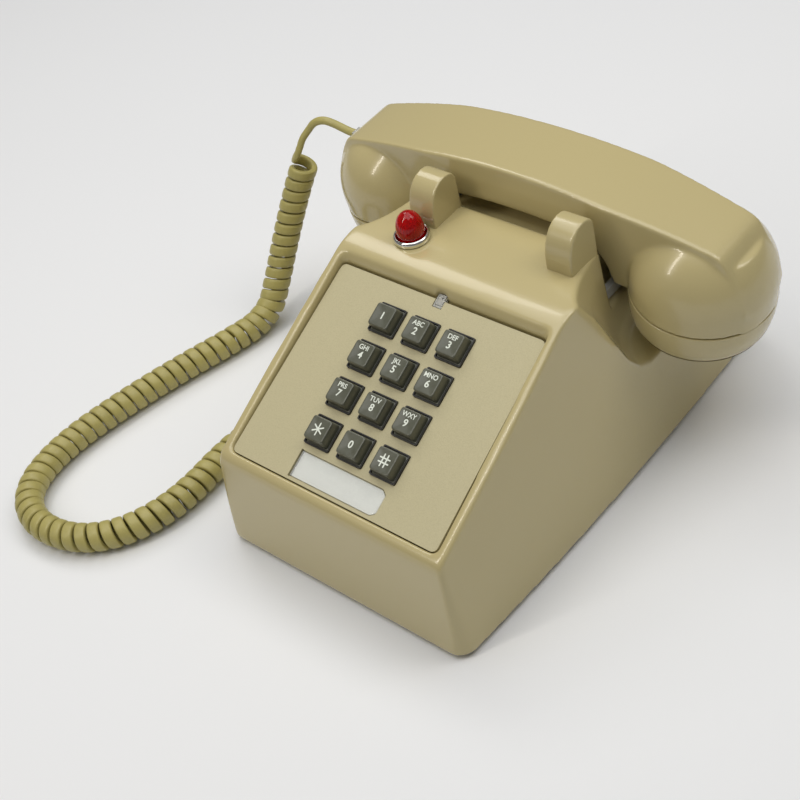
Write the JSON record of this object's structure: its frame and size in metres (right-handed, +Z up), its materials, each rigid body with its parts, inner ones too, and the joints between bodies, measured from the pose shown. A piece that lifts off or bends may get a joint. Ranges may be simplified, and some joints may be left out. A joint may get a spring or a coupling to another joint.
{
  "type": "push-button desk telephone",
  "caption": "Desk telephone with sloping push-button face, red message lamp, handset across the cradle and a curly handset cord.",
  "frame": {"origin": "bottom centre of the phone's own box, on the table, without the cord", "axes": "+Z up, -Y the front with the keys, the handset lies along X"},
  "size_m": [0.2956, 0.2798, 0.1212],
  "materials": {
    "body_plastic": "glossy warm beige moulded plastic",
    "faceplate_plastic": "finely grained matt beige plastic",
    "key_plastic": "satin dark grey plastic with white figures",
    "black_plastic": "matt black plastic",
    "circuit_board": "green circuit board",
    "card": "white card",
    "clear_plastic": "clear plastic",
    "red_lens": "clear red plastic",
    "chrome_trim": "bright chrome",
    "steel": "zinc plated steel",
    "rubber_feet": "black rubber",
    "grey_plastic": "grey plastic",
    "brass_gong": "plated brass",
    "coil_copper": "wound enamelled copper under varnish",
    "cord_plastic": "satin olive-beige vinyl"
  },
  "bodies": {
    "base": {"housing_shell": "body_plastic", "faceplate": "faceplate_plastic", "keypad_body": "black_plastic", "keypad_board": "circuit_board", "number_card": "card", "card_window": "clear_plastic", "faceplate_latch": "clear_plastic", "lamp_lens": "red_lens", "lamp_bezel": "chrome_trim", "lamp_bulb": "clear_plastic", "lamp_socket": "black_plastic", "hookswitch_bracket": "steel", "hookswitch_contacts": "black_plastic", "base_plate": "steel", "foot_front_left": "rubber_feet", "foot_front_right": "rubber_feet", "foot_rear_left": "rubber_feet", "foot_rear_right": "rubber_feet", "housing_screw_front": "steel", "housing_screw_rear": "steel", "network_block": "grey_plastic", "ringer_frame": "steel", "gong_large": "brass_gong", "gong_small": "brass_gong", "ringer_coil": "coil_copper", "base_jack": "black_plastic", "base_plug": "clear_plastic", "line_jack": "black_plastic", "cord_lead": "cord_plastic", "cord_coil": "cord_plastic", "cord_tail": "cord_plastic"},
    "handset": {"handset_handle": "body_plastic", "transmitter_cap": "body_plastic", "receiver_cap": "body_plastic", "transmitter_unit": "steel", "receiver_unit": "grey_plastic", "handset_jack": "black_plastic", "handset_plug": "clear_plastic"},
    "plunger_left_body": {"plunger_left": "clear_plastic"},
    "plunger_right_body": {"plunger_right": "clear_plastic"},
    "hookswitch_arm": {"hookswitch_lever": "steel"},
    "key_1_cap": {"key_1": "key_plastic"},
    "key_2_cap": {"key_2": "key_plastic"},
    "key_3_cap": {"key_3": "key_plastic"},
    "key_4_cap": {"key_4": "key_plastic"},
    "key_5_cap": {"key_5": "key_plastic"},
    "key_6_cap": {"key_6": "key_plastic"},
    "key_7_cap": {"key_7": "key_plastic"},
    "key_8_cap": {"key_8": "key_plastic"},
    "key_9_cap": {"key_9": "key_plastic"},
    "key_star_cap": {"key_star": "key_plastic"},
    "key_0_cap": {"key_0": "key_plastic"},
    "key_hash_cap": {"key_hash": "key_plastic"},
    "clapper_arm": {"clapper": "steel"},
    "wheel": {"volume_wheel": "grey_plastic"}
  },
  "joints": [
    {"name": "handset_lift", "type": "slide", "parent": "base", "child": "handset", "axis": [0, 0, 1], "range_m": [0, 0.12]},
    {"name": "plunger_left_rise", "type": "slide", "parent": "base", "child": "plunger_left_body", "axis": [0, 0, 1], "range_m": [0, 0.0051]},
    {"name": "plunger_right_rise", "type": "slide", "parent": "base", "child": "plunger_right_body", "axis": [0, 0, 1], "range_m": [0, 0.0051]},
    {"name": "hookswitch_turn", "type": "hinge", "parent": "base", "child": "hookswitch_arm", "pos_m": [0, 0.034, 0.04], "axis": [1, 0, 0], "range_deg": [0, 14]},
    {"name": "key_1_press", "type": "slide", "parent": "base", "child": "key_1_cap", "axis": [0, 0.4147, -0.91], "range_m": [0, 0.003], "stiffness_N_per_m": 300, "springref_m": -0.001},
    {"name": "key_2_press", "type": "slide", "parent": "base", "child": "key_2_cap", "axis": [0, 0.4147, -0.91], "range_m": [0, 0.003], "stiffness_N_per_m": 300, "springref_m": -0.001},
    {"name": "key_3_press", "type": "slide", "parent": "base", "child": "key_3_cap", "axis": [0, 0.4147, -0.91], "range_m": [0, 0.003], "stiffness_N_per_m": 300, "springref_m": -0.001},
    {"name": "key_4_press", "type": "slide", "parent": "base", "child": "key_4_cap", "axis": [0, 0.4147, -0.91], "range_m": [0, 0.003], "stiffness_N_per_m": 300, "springref_m": -0.001},
    {"name": "key_5_press", "type": "slide", "parent": "base", "child": "key_5_cap", "axis": [0, 0.4147, -0.91], "range_m": [0, 0.003], "stiffness_N_per_m": 300, "springref_m": -0.001},
    {"name": "key_6_press", "type": "slide", "parent": "base", "child": "key_6_cap", "axis": [0, 0.4147, -0.91], "range_m": [0, 0.003], "stiffness_N_per_m": 300, "springref_m": -0.001},
    {"name": "key_7_press", "type": "slide", "parent": "base", "child": "key_7_cap", "axis": [0, 0.4147, -0.91], "range_m": [0, 0.003], "stiffness_N_per_m": 300, "springref_m": -0.001},
    {"name": "key_8_press", "type": "slide", "parent": "base", "child": "key_8_cap", "axis": [0, 0.4147, -0.91], "range_m": [0, 0.003], "stiffness_N_per_m": 300, "springref_m": -0.001},
    {"name": "key_9_press", "type": "slide", "parent": "base", "child": "key_9_cap", "axis": [0, 0.4147, -0.91], "range_m": [0, 0.003], "stiffness_N_per_m": 300, "springref_m": -0.001},
    {"name": "key_star_press", "type": "slide", "parent": "base", "child": "key_star_cap", "axis": [0, 0.4147, -0.91], "range_m": [0, 0.003], "stiffness_N_per_m": 300, "springref_m": -0.001},
    {"name": "key_0_press", "type": "slide", "parent": "base", "child": "key_0_cap", "axis": [0, 0.4147, -0.91], "range_m": [0, 0.003], "stiffness_N_per_m": 300, "springref_m": -0.001},
    {"name": "key_hash_press", "type": "slide", "parent": "base", "child": "key_hash_cap", "axis": [0, 0.4147, -0.91], "range_m": [0, 0.003], "stiffness_N_per_m": 300, "springref_m": -0.001},
    {"name": "clapper_swing", "type": "hinge", "parent": "base", "child": "clapper_arm", "pos_m": [-0.001, -0.024, 0.0145], "axis": [0, 0, 1], "range_deg": [-3, 3]},
    {"name": "volume_wheel_turn", "type": "hinge", "parent": "base", "child": "wheel", "pos_m": [0.04, -0.008, 0.013], "axis": [1, 0, 0], "range_deg": [-60, 60]}
  ],
  "couplings": [
    {"joint": "plunger_left_rise", "follows": "handset_lift", "ratio": 0.041667},
    {"joint": "plunger_right_rise", "follows": "handset_lift", "ratio": 0.041667},
    {"joint": "hookswitch_turn", "follows": "handset_lift", "rad_per_m": 1.95}
  ]
}
